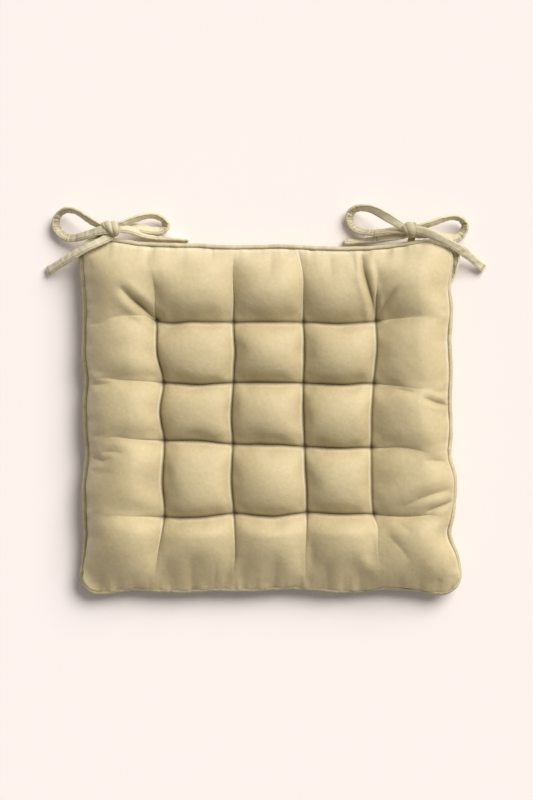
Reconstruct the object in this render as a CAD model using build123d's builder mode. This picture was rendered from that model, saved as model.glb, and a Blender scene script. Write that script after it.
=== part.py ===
"""Square tufted chair seat pad with a piped edge and a tied bow at each back corner.

Millimetres. +Z is up, +Y is the back edge that ties to the chair, and the origin is on the
surface that the pad lies on, under the middle of the pad.
"""

from build123d import *
import math
import os

os.makedirs("parts", exist_ok=True)

# Outline of the pad, to the outside of the piping. Its sides pull in between the corners.
back_half_width = 194
front_half_width = 200
middle_half_width = 191.5
corner_half_depth = 187
middle_half_depth = 182.5
corner_radius = 20

# Heights
seam_height = 22
tongue_thickness = 1
pad_height = 50

# Tuft grid
tuft_columns = [-110, -37, 37, 110]
tuft_rows = [-102, -28, 36, 100]

# Height above the seam, or below it, at the pad's edge, at a crease and at a puff's crown
top_heights = (2, 14, pad_height - seam_height)
bottom_heights = (-2, -10, -25)

# Covers and filling
cover_thickness = 1
filling_gap = 0.2
seam_allowance = 9
upper_layer_height = 31
lower_layer_height = 14

# A tuft draws both covers into funnels that end on a small flat disc
top_funnel_height = 27
bottom_funnel_height = 18
funnel_depth = 20
funnel_disc_radius = 2.5
funnel_mouth_radius = 16

# Threads
tuft_thread_diameter = 1.1
thread_hole_diameter = 1.2
tuft_bar = (4.2, 1.2, 0.8)
seam_thread_width = 0.6
seam_thread_inset = 4
hand_stitch_count = 14
hand_stitch_pitch = 8
hand_stitch_diameter = 0.8
hand_stitch_length = 4
hand_stitch_bite = 0.2
hand_stitch_drop = 1.6

# Piping
piping_diameter = 5.3
piping_cord_diameter = 4

# Ties: a flat strip about 8 wide and 2.5 thick, held here as a round tube of the same section area
tie_diameter = 5
knot_size = (18, 15, 15.5)
knot_rounding = 4.5
knot_height = 26.25
left_knot = (-167.5, 195.5)
right_knot = (148, 195.5)

cover_inset = piping_diameter


back_left = (-back_half_width, corner_half_depth)
back_right = (back_half_width, corner_half_depth)
front_right = (front_half_width, -corner_half_depth)
front_left = (-front_half_width, -corner_half_depth)
back_side = ThreePointArc(back_left, (0, middle_half_depth), back_right)
sides = [
    back_side,
    ThreePointArc(back_right, (middle_half_width, 0), front_right),
    ThreePointArc(front_right, (0, -middle_half_depth), front_left),
    ThreePointArc(front_left, (-middle_half_width, 0), back_left),
]


def outline(inset):
    """The pad's outline, drawn in by inset all round: each side is an arc centred outside it."""
    with BuildSketch() as shape:
        Rectangle(2.1 * front_half_width, 2.1 * corner_half_depth)
        for side in sides:
            with Locations(side.arc_center):
                Circle(side.radius + inset, mode=Mode.SUBTRACT)
        fillet(shape.vertices(), corner_radius - inset)
    return shape.sketch


def puff_row(edge, creases, heights, sink):
    """Draws one row of puffs in section: an arc from crease to crease, over the seam height."""
    edge_rise, crease_rise, crown_rise = heights
    up = math.copysign(1, crown_rise)
    stations = [-edge] + creases + [edge]
    rises = [edge_rise] + [crease_rise] * len(creases) + [edge_rise]
    feet = [(s, seam_height + r - up * sink) for s, r in zip(stations, rises)]
    crown = seam_height + crown_rise - up * sink
    for near, far in zip(feet, feet[1:]):
        ThreePointArc(near, ((near[0] + far[0]) / 2, crown), far)
    Polyline(feet[-1], (edge, seam_height), (-edge, seam_height), feet[0])


def puffed_half(heights, inset, sink, base):
    """One half of the pad, above or below the seam, sunk by sink and cut off level at base."""
    up = math.copysign(1, heights[2])
    reach = front_half_width + corner_radius
    limit = pad_height - sink if up > 0 else sink
    tip = (top_funnel_height if up > 0 else bottom_funnel_height) - up * sink
    with BuildPart() as half:
        with BuildSketch(Plane.XZ):
            with BuildLine():
                puff_row(front_half_width, tuft_columns, heights, sink)
            make_face()
        extrude(amount=reach, both=True)
        with BuildSketch(Plane.YZ):
            with BuildLine():
                puff_row(corner_half_depth, tuft_rows, heights, sink)
            make_face()
        extrude(amount=reach, both=True, mode=Mode.INTERSECT)
        with BuildSketch(Plane.XY.offset(base)):
            add(outline(inset))
        extrude(amount=limit - base, mode=Mode.INTERSECT)
        funnels = [Location((x, y, tip)) for x in tuft_columns for y in tuft_rows]
        with Locations(funnels):
            Cone(
                bottom_radius=(funnel_disc_radius if up > 0 else funnel_mouth_radius) + sink,
                top_radius=(funnel_mouth_radius if up > 0 else funnel_disc_radius) + sink,
                height=funnel_depth,
                align=(Align.CENTER, Align.CENTER, Align.MIN if up > 0 else Align.MAX),
                mode=Mode.SUBTRACT,
            )
    return half.part


def thread_holes(low, high):
    """Cuts the tuft threads' holes through the part in hand."""
    middle = (low + high) / 2
    with Locations([(x, y, middle) for x in tuft_columns for y in tuft_rows]):
        Cylinder(thread_hole_diameter / 2, high - low, mode=Mode.SUBTRACT)


def finish(part, label):
    """Names a piece and writes its file."""
    part.label = label
    export_step(part, f"parts/{label}.step")
    print(label, "solids", len(part.solids()), "volume", round(part.volume, 1))


# ---------------------------------------------------------------- covers

tongue_top = seam_height + tongue_thickness / 2
tongue_bottom = seam_height - tongue_thickness / 2
allowance_inset = cover_inset + seam_allowance

with BuildPart() as top_cover:
    add(puffed_half(top_heights, cover_inset, 0, tongue_top))
    add(
        puffed_half(
            top_heights, cover_inset + cover_thickness, cover_thickness, tongue_top + cover_thickness
        ),
        mode=Mode.SUBTRACT,
    )
    with BuildSketch(Plane.XY.offset(tongue_top)):
        add(outline(allowance_inset))
    extrude(amount=cover_thickness, mode=Mode.SUBTRACT)
    thread_holes(seam_height, pad_height)
finish(top_cover.part, "top_cover")

with BuildPart() as bottom_cover:
    add(puffed_half(bottom_heights, cover_inset, 0, tongue_bottom))
    add(
        puffed_half(
            bottom_heights,
            cover_inset + cover_thickness,
            cover_thickness,
            tongue_bottom - cover_thickness,
        ),
        mode=Mode.SUBTRACT,
    )
    with BuildSketch(Plane.XY.offset(tongue_bottom - cover_thickness)):
        add(outline(allowance_inset))
    extrude(amount=cover_thickness, mode=Mode.SUBTRACT)
    thread_holes(0, seam_height)
finish(bottom_cover.part, "bottom_cover")


# ---------------------------------------------------------------- filling

filling_sink = cover_thickness + filling_gap
filling_inset = cover_inset + cover_thickness + filling_gap
thread_room = seam_thread_width + filling_gap
upper_base = tongue_top + cover_thickness + thread_room
lower_base = tongue_bottom - cover_thickness - thread_room
upper_filling = puffed_half(top_heights, filling_inset, filling_sink, upper_base)
lower_filling = puffed_half(bottom_heights, filling_inset, filling_sink, lower_base)


def keep_between(low, high):
    """Keeps only what lies between two heights of the part in hand."""
    size = 2 * (front_half_width + corner_radius)
    with Locations((0, 0, low)):
        Box(size, size, high - low, align=(Align.CENTER, Align.CENTER, Align.MIN), mode=Mode.INTERSECT)


with BuildPart() as upper_wadding:
    add(upper_filling)
    keep_between(upper_layer_height, pad_height)
    thread_holes(seam_height, pad_height)
finish(upper_wadding.part, "upper_wadding")

with BuildPart() as core_wadding:
    add(upper_filling)
    add(lower_filling)
    with BuildSketch(Plane.XY.offset(lower_base)):
        add(outline(allowance_inset + filling_gap))
    extrude(amount=upper_base - lower_base)
    keep_between(lower_layer_height, upper_layer_height)
    thread_holes(0, pad_height)
finish(core_wadding.part, "core_wadding")

with BuildPart() as lower_wadding:
    add(lower_filling)
    keep_between(0, lower_layer_height)
    thread_holes(0, seam_height)
finish(lower_wadding.part, "lower_wadding")


# ---------------------------------------------------------------- piping

piping_line = outline(piping_diameter / 2).face().outer_wire()
piping_start = Plane(origin=piping_line @ 0, z_dir=piping_line % 0)
lift = Location((0, 0, seam_height))

with BuildPart() as piping_cord:
    with BuildLine():
        add(piping_line)
    with BuildSketch(piping_start):
        Circle(piping_cord_diameter / 2)
    sweep()
piping_cord_ring = piping_cord.part.moved(lift)
finish(piping_cord_ring, "piping_cord")

with BuildPart() as piping_tube:
    with BuildLine():
        add(piping_line)
    with BuildSketch(piping_start):
        Circle(piping_diameter / 2)
    sweep()

with BuildPart() as piping_cover:
    with BuildSketch(Plane.XY.offset(tongue_bottom)):
        add(outline(piping_diameter / 2))
        add(outline(allowance_inset), mode=Mode.SUBTRACT)
    extrude(amount=tongue_thickness)
    add(piping_tube.part.moved(lift))
    add(piping_cord_ring, mode=Mode.SUBTRACT)
finish(piping_cover.part, "piping_cover")


# ---------------------------------------------------------------- threads

stitch_line = cover_inset + seam_thread_inset

with BuildPart() as seam_thread:
    for foot in (tongue_top + cover_thickness, tongue_bottom - cover_thickness - seam_thread_width):
        with BuildSketch(Plane.XY.offset(foot)):
            add(outline(stitch_line))
            add(outline(stitch_line + seam_thread_width), mode=Mode.SUBTRACT)
        extrude(amount=seam_thread_width)
finish(seam_thread.part, "seam_thread")

tuft_bar_length, tuft_bar_width, tuft_bar_height = tuft_bar

with BuildPart() as tuft_threads:
    with Locations([(x, y, bottom_funnel_height) for x in tuft_columns for y in tuft_rows]):
        Cylinder(
            tuft_thread_diameter / 2,
            top_funnel_height - bottom_funnel_height,
            align=(Align.CENTER, Align.CENTER, Align.MIN),
        )
    with Locations([(x, y, top_funnel_height) for x in tuft_columns for y in tuft_rows]):
        Box(
            tuft_bar_length,
            tuft_bar_width,
            tuft_bar_height,
            align=(Align.CENTER, Align.CENTER, Align.MIN),
        )
    with Locations([(x, y, bottom_funnel_height) for x in tuft_columns for y in tuft_rows]):
        Box(
            tuft_bar_length,
            tuft_bar_width,
            tuft_bar_height,
            align=(Align.CENTER, Align.CENTER, Align.MAX),
        )
finish(tuft_threads.part, "tuft_threads")

# The closing stitches lie in the groove between the piping and the bottom cover's back wall, and
# bite into both.
stitch_places = [(i - (hand_stitch_count - 1) / 2) * hand_stitch_pitch for i in range(hand_stitch_count)]
groove_reach = back_side.radius + cover_inset - hand_stitch_bite
groove_height = seam_height - hand_stitch_drop


def groove_depth(place):
    """How far back the groove lies at this place along the back edge."""
    return back_side.arc_center.Y - math.sqrt(groove_reach**2 - place**2)


with BuildPart() as closing_stitches:
    for place in stitch_places:
        with BuildSketch(Plane((place, groove_depth(place), groove_height), z_dir=(1, 0, 0.05))):
            Circle(hand_stitch_diameter / 2)
        extrude(amount=hand_stitch_length / 2, both=True)
finish(closing_stitches.part, "closing_stitches")


# ---------------------------------------------------------------- ties

# Each route lists its points from where it starts to where it ends. A route that crosses the back
# seam line is split halfway along the run given by "split": what comes before it is one piece, and
# what follows is the other.

routes = {
    "left_outer_loop": [
        (-175, 199, 30.5),
        (-188, 207, 30),
        (-202, 216.5, 22.5),
        (-215.5, 218.5, 12),
        (-225.5, 209, 4.5),
        (-224, 196, 3),
        (-212, 187.5, 6.5),
        (-196, 189, 16),
        (-175, 196.5, 24),
    ],
    "left_inner_loop": [
        (-160, 199, 30),
        (-147, 204, 30),
        (-132, 211, 24),
        (-118, 212.5, 13.5),
        (-107.5, 205, 5),
        (-109, 196, 3.2),
        (-120, 193.5, 10),
        (-138, 198, 19),
        (-160, 196.5, 24),
    ],
    "left_inner_tail": [
        (-160, 191, 22),
        (-146, 189.5, 18),
        (-131, 188.5, 8),
        (-116, 188, 3),
        (-100, 187.8, 2.8),
        (-85, 187.2, 2.8),
    ],
    "left_outer_tail": [
        (-169, 192, 31),
        (-178, 187.5, 32.5),
        (-190, 178.5, 31),
        (-203, 169.5, 22),
        (-216, 160.5, 9),
        (-228, 153, 3),
    ],
    "left_side_tie": [
        (-184.5, 139, 15.5),
        (-193, 149, 12),
        (-194, 163, 11),
        (-191, 178, 11),
        (-181, 188.5, 14),
        (-174, 191, 21.5),
    ],
    "left_back_tie": [
        (-167.5, 177.5, 15.5),
        (-167.5, 183, 15),
        (-166.5, 188.6, 15.4),
        (-166.5, 193.5, 17.5),
        (-167.5, 196, 22),
    ],
    "right_outer_loop": [
        (155.5, 199, 30.5),
        (169, 202.5, 30),
        (182, 208.5, 23.5),
        (195, 209.5, 13.5),
        (205.5, 202.5, 5),
        (204.5, 193, 3.2),
        (195, 191, 11),
        (180, 194, 21),
        (155.5, 196.5, 24),
    ],
    "right_inner_loop": [
        (140.5, 199, 30),
        (127, 208, 30),
        (113, 216, 22.5),
        (99.5, 219, 12),
        (88.5, 213, 4.5),
        (86, 202.5, 3),
        (94, 196, 6),
        (107, 193.8, 14),
        (123, 195.5, 20),
        (140.5, 196.5, 24),
    ],
    "right_inner_tail": [
        (140.5, 191, 22),
        (127, 190, 17.5),
        (112, 188.8, 8.5),
        (97, 188, 3),
        (83, 187.5, 2.8),
    ],
    "right_outer_tail": [
        (149, 193, 31.5),
        (163, 192.5, 34),
        (179, 187.5, 33),
        (195, 179, 27),
        (207, 171, 16),
        (218, 162.5, 5.5),
        (227, 154.5, 2.8),
    ],
    "right_side_tie": [
        (184.5, 138, 15.5),
        (194.5, 146, 15),
        (199, 159, 16),
        (199, 173.5, 15),
        (190, 186.5, 12),
        (174, 190, 13.5),
        (157, 191, 21.5),
    ],
    "right_back_tie": [
        (148, 177.5, 15.5),
        (148, 183, 15),
        (147, 188.6, 15.4),
        (147, 193.5, 17.5),
        (148, 196, 22),
    ],
}
splits = {
    "left_outer_tail": 1,
    "left_side_tie": 2,
    "left_back_tie": 1,
    "right_outer_tail": 2,
    "right_side_tie": 2,
    "right_back_tie": 1,
}


def bend_radii(points):
    """The radius at each inner point: as large as the two runs that meet there allow."""
    radii = []
    for before, here, after in zip(points, points[1:], points[2:]):
        run_in = Vector(*here) - Vector(*before)
        run_out = Vector(*after) - Vector(*here)
        half_turn = math.radians(run_in.get_angle(run_out)) / 2
        shorter = min(run_in.length, run_out.length)
        radii.append(0.45 * shorter / math.tan(half_turn))
    return radii


def tie_tube(label, points):
    """A plain tube along a tie's route, made of straight runs joined by tangent arcs."""
    radii = bend_radii(points)
    with BuildPart() as tube:
        with BuildLine() as route:
            if radii:
                FilletPolyline(*points, radius=radii)
            else:
                Line(*points)
        with BuildSketch(Plane(origin=route.line @ 0, z_dir=route.line % 0)):
            Circle(tie_diameter / 2)
        sweep()
    length = sum(edge.length for edge in route.edges())
    share = tube.part.volume / (math.pi * tie_diameter**2 / 4 * length)
    print(label, "length", round(length, 1), "radii", [round(r, 1) for r in radii])
    print("    volume over section times length", round(share, 4))
    return tube.part


def halfway(points, run):
    """The middle of one run of a route."""
    return tuple((a + b) / 2 for a, b in zip(points[run], points[run + 1]))


for side, knot_place in (("left", left_knot), ("right", right_knot)):
    with BuildPart() as bow_knot:
        with Locations((*knot_place, knot_height)):
            Box(*knot_size)
        fillet(bow_knot.edges(), knot_rounding)
    finish(bow_knot.part, f"{side}_bow_knot")

    for name in ("outer_loop", "inner_loop", "inner_tail"):
        label = f"{side}_{name}"
        finish(tie_tube(label, routes[label]), label)

    # The outer tail runs from the knot over the pad's corner, and the two ties run from the seam
    # to the knot. The short stretch of each beside the knot bends as the bow swings.
    tail = routes[f"{side}_outer_tail"]
    tail_run = splits[f"{side}_outer_tail"]
    tail_split = halfway(tail, tail_run)
    label = f"{side}_outer_tail"
    finish(tie_tube(label, [tail_split] + tail[tail_run + 1:]), label)
    bends = [tie_tube("bend of " + label, tail[: tail_run + 1] + [tail_split])]

    for name in ("side_tie", "back_tie"):
        label = f"{side}_{name}"
        route = routes[label]
        run = splits[label]
        split_point = halfway(route, run)
        finish(tie_tube(label, route[: run + 1] + [split_point]), label)
        bends.append(tie_tube("bend of " + label, [split_point] + route[run + 1:]))

    with BuildPart() as tie_bends:
        add(bends)
    finish(tie_bends.part, f"{side}_tie_bends")
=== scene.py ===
"""Looks for the tufted velvet seat pad: covers, piping, stitches, ties and bows round the CAD frame."""

import math

import bpy
import numpy as np
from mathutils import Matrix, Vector


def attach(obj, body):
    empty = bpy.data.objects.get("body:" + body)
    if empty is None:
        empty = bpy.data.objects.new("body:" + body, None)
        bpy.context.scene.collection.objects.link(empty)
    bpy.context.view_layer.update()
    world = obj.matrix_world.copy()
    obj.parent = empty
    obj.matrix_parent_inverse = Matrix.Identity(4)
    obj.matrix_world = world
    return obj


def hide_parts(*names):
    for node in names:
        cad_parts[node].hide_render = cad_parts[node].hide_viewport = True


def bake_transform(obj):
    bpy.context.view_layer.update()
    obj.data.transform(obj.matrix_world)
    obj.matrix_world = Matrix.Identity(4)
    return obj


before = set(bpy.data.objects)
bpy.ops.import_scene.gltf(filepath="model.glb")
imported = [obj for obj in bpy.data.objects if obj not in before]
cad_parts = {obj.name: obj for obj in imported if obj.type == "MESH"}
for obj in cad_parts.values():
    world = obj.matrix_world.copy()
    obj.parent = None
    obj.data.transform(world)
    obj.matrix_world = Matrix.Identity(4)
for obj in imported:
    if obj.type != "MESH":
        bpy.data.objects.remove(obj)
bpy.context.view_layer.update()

MM = 0.001  # the lists below are in millimetres, the scene is in metres

# ---------------------------------------------------------------- the pad's plan, in millimetres

PIPING = 5.3
SEAM_HEIGHT = 22.0
CROWN = 50.0
CREASE_HEIGHT = 30.0
UNDER_CROWN, UNDER_CREASE = 25.0, 10.0  # below the seam, before the underside is flattened
SADDLE = 3.5  # how much a crease rises midway between its tufts
PIT_DEPTH, PIT_WIDTH = 4.5, 2.8
CORNER_RADIUS = 15.0
LOWEST = 0.3  # nothing comes nearer to the floor than this
LIGHT_X, LIGHT_Y = 0.66, 0.75  # the way to the light, seen from above
# The outer puffs slope to the seam: (how far across the puff its crown is, width of the slope)
LEFT_SLOPE, RIGHT_SLOPE = (0.42, 50.0), (0.6, 34.0)
FRONT_SLOPE, BACK_SLOPE = (0.3, 60.0), (0.43, 46.0)

# Tufts row by row from the front, each pulled a little off its place on the grid
TUFTS = np.array([
    [(-109.0, -104.7), (-36.0, -100.9), (40.4, -99.9), (110.3, -101.5)],
    [(-109.0, -24.4), (-37.3, -28.2), (37.9, -30.8), (107.9, -32.0)],
    [(-109.9, 36.1), (-36.6, 36.1), (36.6, 35.7), (110.3, 35.1)],
    [(-117.1, 101.0), (-36.6, 99.4), (36.6, 99.4), (112.8, 100.4)],
])
# How far a crease bows to one side midway between two tufts: up each column, then along each row
COLUMN_BOWS = [(-1.7, -3.2, -2.3), (-2.0, -1.6, 1.6), (0.2, -0.4, 1.0), (-0.9, -0.9, 1.4)]
ROW_BOWS = [(-1.8, -3.2, -0.6), (1.4, 0.9, -0.9), (-2.0, 0.4, -1.4), (-0.6, 0.3, -2.0)]

# The creases go on from the outer tufts to the seam: (x, y, how hard the crease still pulls there)
FRONT_ENDS = [
    [(-111.4, -122, 0.9), (-115, -140, 0.75), (-117.4, -156, 0.5), (-119.8, -169, 0.12), (-120, -187, 0.0)],
    [(-35.2, -122, 0.9), (-34.8, -146, 0.75), (-36, -158, 0.45), (-37, -170, 0.15), (-37, -187, 0.1)],
    [(39.5, -122, 0.8), (38.5, -140, 0.65), (38.6, -158, 0.45), (38.8, -172, 0.12), (39, -187, 0.0)],
    [(114, -116, 0.75), (114, -128, 0.5), (115.2, -144, 0.32), (117.6, -157, 0.08), (119, -187, 0.0)],
]
BACK_ENDS = [
    [(-118.9, 114, 0.8), (-119, 134, 0.6), (-122, 152, 0.15), (-124, 165, 0.0), (-125, 187, 0.0)],
    [(-36.2, 122, 0.9), (-37.4, 145, 0.7), (-37, 160, 0.45), (-35, 172, 0.12), (-34, 187, 0.0)],
    [(36.4, 122, 0.85), (36, 145, 0.75), (34, 160, 0.8), (31.5, 172, 0.8), (31, 187, 0.4)],
    [(112.7, 124, 0.9), (113.2, 141, 0.6), (115, 155, 0.15), (116, 167, 0.0), (117, 187, 0.0)],
]
LEFT_ENDS = [
    [(-124, -104, 0.8), (-142, -103.5, 0.45), (-158, -102.3, 0.2), (-172, -104, 0.05), (-197, -105, 0.0)],
    [(-124, -23.9, 0.7), (-142, -22.7, 0.5), (-160, -20.9, 0.3), (-175, -22, 0.08), (-197, -24, 0.0)],
    [(-125, 36.9, 0.7), (-141.5, 38, 0.55), (-157, 39.1, 0.5), (-170, 40.6, 0.35), (-197, 38, 0.0)],
    [(-128.3, 105.4, 0.7), (-142.6, 106, 0.5), (-161, 103.8, 0.3), (-177, 99.4, 0.1), (-197, 98, 0.0)],
]
RIGHT_ENDS = [
    [(125, -102.9, 0.85), (149, -103.5, 0.7), (168, -102.3, 0.6), (180, -103.5, 0.2), (200, -104, 0.0)],
    [(119, -32.3, 0.8), (137, -31.7, 0.5), (151, -33.5, 0.35), (166, -37.2, 0.15), (198, -39, 0.0)],
    [(131, 33, 0.6), (142, 32, 0.4), (153, 30.3, 0.3), (175, 28.7, 0.1), (198, 28, 0.0)],
    [(126.5, 102.1, 0.75), (142, 103.3, 0.5), (158.5, 104.4, 0.3), (175, 106, 0.12), (198, 107, 0.0)],
]

# Folds that only this pad has: (points, depth, half width)
FOLDS = [
    ([(-116, 102), (-122.7, 106), (-130.5, 113.7), (-142.6, 123.7), (-154.2, 134.7)], 7.0, 3.6),
    ([(112, 102), (108.8, 120), (103.3, 138), (99.4, 152), (97.7, 165.7), (97, 178)], 7.0, 3.0),
    ([(90.5, 150), (89, 162), (87, 174)], 2.6, 2.4),
    ([(114, 104), (122, 119), (127.6, 127), (133, 134)], 3.2, 2.6),
    ([(166, -45), (175, -46), (184, -48)], 1.6, 3.0),
    ([(142, -92), (156, -85), (171, -80), (188, -76)], 3.2, 5.0),
    ([(194, -84), (183, -91), (171, -96), (163, -99)], 4.2, 2.8),
    ([(193, 11), (184, 13), (174, 15), (162, 19)], 4.4, 2.4),
    ([(150, 26), (140, 27.5), (133, 29)], 1.6, 3.0),
    ([(126, -124), (139, -137), (149, -150)], 1.6, 5.0),
    ([(135, -110), (149, -120)], 1.4, 4.0),
    ([(174, -168), (182, -170)], 2.0, 5.0),
    ([(-173, -37), (-162, -36.4), (-152, -38)], 1.8, 3.0),
    ([(-188, -42), (-181, -43.5), (-172, -46), (-163, -43.8)], 2.8, 3.0),
    ([(-186, -58), (-164, -58)], 1.0, 4.0),
    ([(-190, 33), (-175, 33.5), (-162, 35)], 1.8, 3.2),
    ([(2, 150), (4, 170)], 1.2, 4.5),
    ([(66, 148), (64, 172)], 1.4, 4.0),
    ([(-80, -150), (-81, -172)], 1.0, 5.0),
    ([(-55, -152), (-57, -172)], 1.2, 4.0),
    ([(8, -150), (6, -172)], 1.0, 5.0),
    ([(60, -156), (62, -174)], 1.0, 4.5),
]

# Where the stuffing pushes the seam out: (place along the side, distance from the middle line)
LEFT_SIDE = [(-187, 199.5), (-170, 200.8), (-150, 198), (-128, 195.8), (-95, 197), (-72, 197.4), (-42, 194),
             (-10, 196.2), (15, 196.6), (38, 194.6), (62, 197.4), (90, 197), (112, 196.8), (140, 198.4),
             (160, 200), (175, 200.5), (189, 200)]
RIGHT_SIDE = [(-187, 202.5), (-166, 204.4), (-146, 201), (-122, 193.2), (-104, 196.4), (-80, 199),
              (-62, 198.6), (-44, 193.8), (-15, 194.8), (20, 193.4), (50, 194.6), (85, 193.4), (115, 195),
              (138, 192.6), (160, 194.8), (175, 196), (187, 196.5)]
BACK_SIDE = [(-200, 190), (-184, 190.5), (-165, 189.5), (-152, 187.6), (-138, 185.4), (-100, 183.6),
             (-72, 183), (-50, 181.8), (29, 181.8), (54, 180.4), (80, 179.8), (103, 180.2), (139, 184),
             (152, 186), (166, 187.6), (182, 186), (196, 181)]
FRONT_SIDE = [(-200, 187.5), (-180, 188.2), (-158, 186), (-141, 183.6), (-115, 185.6), (-80, 185.8),
              (-57, 184.4), (-30, 185.2), (8, 183), (24, 182.4), (48, 184.2), (75, 186), (98, 185.6),
              (118, 183), (138, 183), (160, 185.4), (178, 188.2), (200, 187.5)]


def smooth_through(pairs, at):
    """A smooth line through given (place, value) pairs."""
    places = np.array([p for p, _ in pairs], float)
    values = np.array([v for _, v in pairs], float)
    slopes = np.gradient(values, places)
    at = np.clip(at, places[0], places[-1])
    i = np.clip(np.searchsorted(places, at) - 1, 0, len(places) - 2)
    step = places[i + 1] - places[i]
    t = (at - places[i]) / step
    return (
        values[i] * (1 + 2 * t) * (1 - t) ** 2
        + slopes[i] * step * t * (1 - t) ** 2
        + values[i + 1] * t * t * (3 - 2 * t)
        - slopes[i + 1] * step * t * t * (1 - t)
    )


def ease(low, high, value):
    """0 below low, 1 above high, smooth between."""
    t = np.clip((value - low) / (high - low), 0, 1)
    return t * t * (3 - 2 * t)


def ripple(x, y, wavelength, seed, waves=14):
    """A smooth random field with a spread of about 1 and bumps of about this wavelength."""
    rng = np.random.default_rng(seed)
    total = np.zeros_like(x, float)
    for _ in range(waves):
        angle = rng.uniform(0, 2 * math.pi)
        start = rng.uniform(0, 2 * math.pi)
        turns = 2 * math.pi / (wavelength * rng.uniform(0.7, 1.5))
        total += np.sin((x * math.cos(angle) + y * math.sin(angle)) * turns + start)
    return total / math.sqrt(waves / 2)


def ripple_along(at, wavelength, seed):
    """A smooth random line of the same kind."""
    return ripple(at, at * 0, wavelength, seed)


class Crease:
    """One crease from seam to seam through four tufts: its line, and how hard it pulls along it."""

    def __init__(self, tufts, bows, start, end, along):
        across = 1 - along
        points = [(p[along], p[across], p[2]) for p in reversed(start)]
        for i, tuft in enumerate(tufts):
            points.append((tuft[along], tuft[across], 1.0))
            if i < len(bows):
                middle = (tuft + tufts[i + 1]) / 2
                points.append((middle[along], middle[across] + bows[i], 1.0))
        points += [(p[along], p[across], p[2]) for p in end]
        self.line = [(a, b) for a, b, _ in points]
        self.pulls = np.array([(a, pull) for a, _, pull in points])

    def place(self, at):
        return smooth_through(self.line, at)

    def pull(self, at):
        return np.interp(at, self.pulls[:, 0], self.pulls[:, 1])


COLUMNS = [Crease(TUFTS[:, k], COLUMN_BOWS[k], FRONT_ENDS[k], BACK_ENDS[k], 1) for k in range(4)]
ROWS = [Crease(TUFTS[k], ROW_BOWS[k], LEFT_ENDS[k], RIGHT_ENDS[k], 0) for k in range(4)]


# ---------------------------------------------------------------- the pad's surface

CELLS = 5  # puffs each way
COLUMN_PITCH, ROW_PITCH = 76.0, 73.0  # the even grid that is drawn onto the creases
GRID_PASSES = 6
CROWDING = 0.45  # how much the grid's lines crowd towards the creases
CLOTH_STEPS = 20  # grid lines in each puff of the simulated cloth
CLOTH_FRAMES = 20
CLOTH_CAP = 5.0


def cell_steps(cells, steps, crowding):
    """Places over the cells, crowded towards the creases: (cell, place in the cell from 0 to 1)."""
    inside = np.arange(steps) / steps
    inside = inside - crowding * np.sin(2 * math.pi * inside) / (2 * math.pi)
    cell = np.repeat(np.arange(cells), steps)
    return np.append(cell, cells - 1), np.append(np.tile(inside, cells), 1.0)


def pick(stack, index):
    """From a stack of fields, the one that the index names at each point."""
    return np.take_along_axis(np.stack(stack), index[None], 0)[0]


STEEP = 0.15  # how much of the cover's rise from the seam is steep


def slope_up(gap, width):
    """The rise of the cover from the seam, part steep and part slanting: 0 there, 1 past this width."""
    rest = 1 - np.clip(gap / width, 0, 1)
    return STEEP * np.sqrt(1 - rest**2.2) + (1 - STEEP) * (1 - rest**2)


class Plan:
    """The pad's plan on a grid that follows the creases: positions, cells, and distance to the seam."""

    def __init__(self, steps, crowding=CROWDING):
        cell, inside = cell_steps(CELLS, steps, crowding)
        self.cell_x, self.cell_y = np.meshgrid(cell, cell, indexing="ij")
        share_x, share_y = np.meshgrid(inside, inside, indexing="ij")
        self.u, self.v = 2 * share_x - 1, 2 * share_y - 1
        y = (self.cell_y + share_y - CELLS / 2) * ROW_PITCH
        x = (self.cell_x + share_x - CELLS / 2) * COLUMN_PITCH
        # The creases bend, so a line's place depends on the other coordinate and is found in passes.
        for _ in range(GRID_PASSES):
            left, right = -smooth_through(LEFT_SIDE, y) + PIPING, smooth_through(RIGHT_SIDE, y) - PIPING
            lines = [left, *(c.place(y) for c in COLUMNS), right]
            x = pick(lines, self.cell_x) * (1 - share_x) + pick(lines, self.cell_x + 1) * share_x
            front, back = -smooth_through(FRONT_SIDE, x) + PIPING, smooth_through(BACK_SIDE, x) - PIPING
            lines = [front, *(c.place(x) for c in ROWS), back]
            y = pick(lines, self.cell_y) * (1 - share_y) + pick(lines, self.cell_y + 1) * share_y
        reach, depth = np.where(x > 0, right, -left), np.where(y > 0, back, -front)
        self.wall = (
            slope_up(x - left, LEFT_SLOPE[1]) * slope_up(right - x, RIGHT_SLOPE[1])
            * slope_up(y - front, FRONT_SLOPE[1]) * slope_up(back - y, BACK_SLOPE[1])
        )
        # The square corners of the grid are drawn in to round ones.
        p = np.clip((np.abs(x) - reach + CORNER_RADIUS) / CORNER_RADIUS, 0, 1)
        q = np.clip((np.abs(y) - depth + CORNER_RADIUS) / CORNER_RADIUS, 0, 1)
        in_corner = (p > 0) & (q > 0)
        round_p, round_q = p * np.sqrt(1 - q * q / 2), q * np.sqrt(1 - p * p / 2)
        self.x = np.where(in_corner, np.sign(x) * (reach - CORNER_RADIUS * (1 - round_p)), x)
        self.y = np.where(in_corner, np.sign(y) * (depth - CORNER_RADIUS * (1 - round_q)), y)
        # How far the seam is, and the way to it
        side_gap = np.minimum(reach - np.abs(x), depth - np.abs(y))
        corner_gap = CORNER_RADIUS * (1 - np.hypot(round_p, round_q))
        self.seam_gap = np.maximum(np.where(in_corner, corner_gap, side_gap), 0)
        nearer_side = reach - np.abs(x) < depth - np.abs(y)
        out_x = np.where(in_corner, round_p, nearer_side * 1.0)
        out_y = np.where(in_corner, round_q, ~nearer_side * 1.0)
        size = np.maximum(np.hypot(out_x, out_y), 1e-6)
        self.out_x, self.out_y = np.sign(x) * out_x / size, np.sign(y) * out_y / size
        self.along_seam = np.where(np.abs(self.out_x) > np.abs(self.out_y), self.y, self.x)


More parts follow.
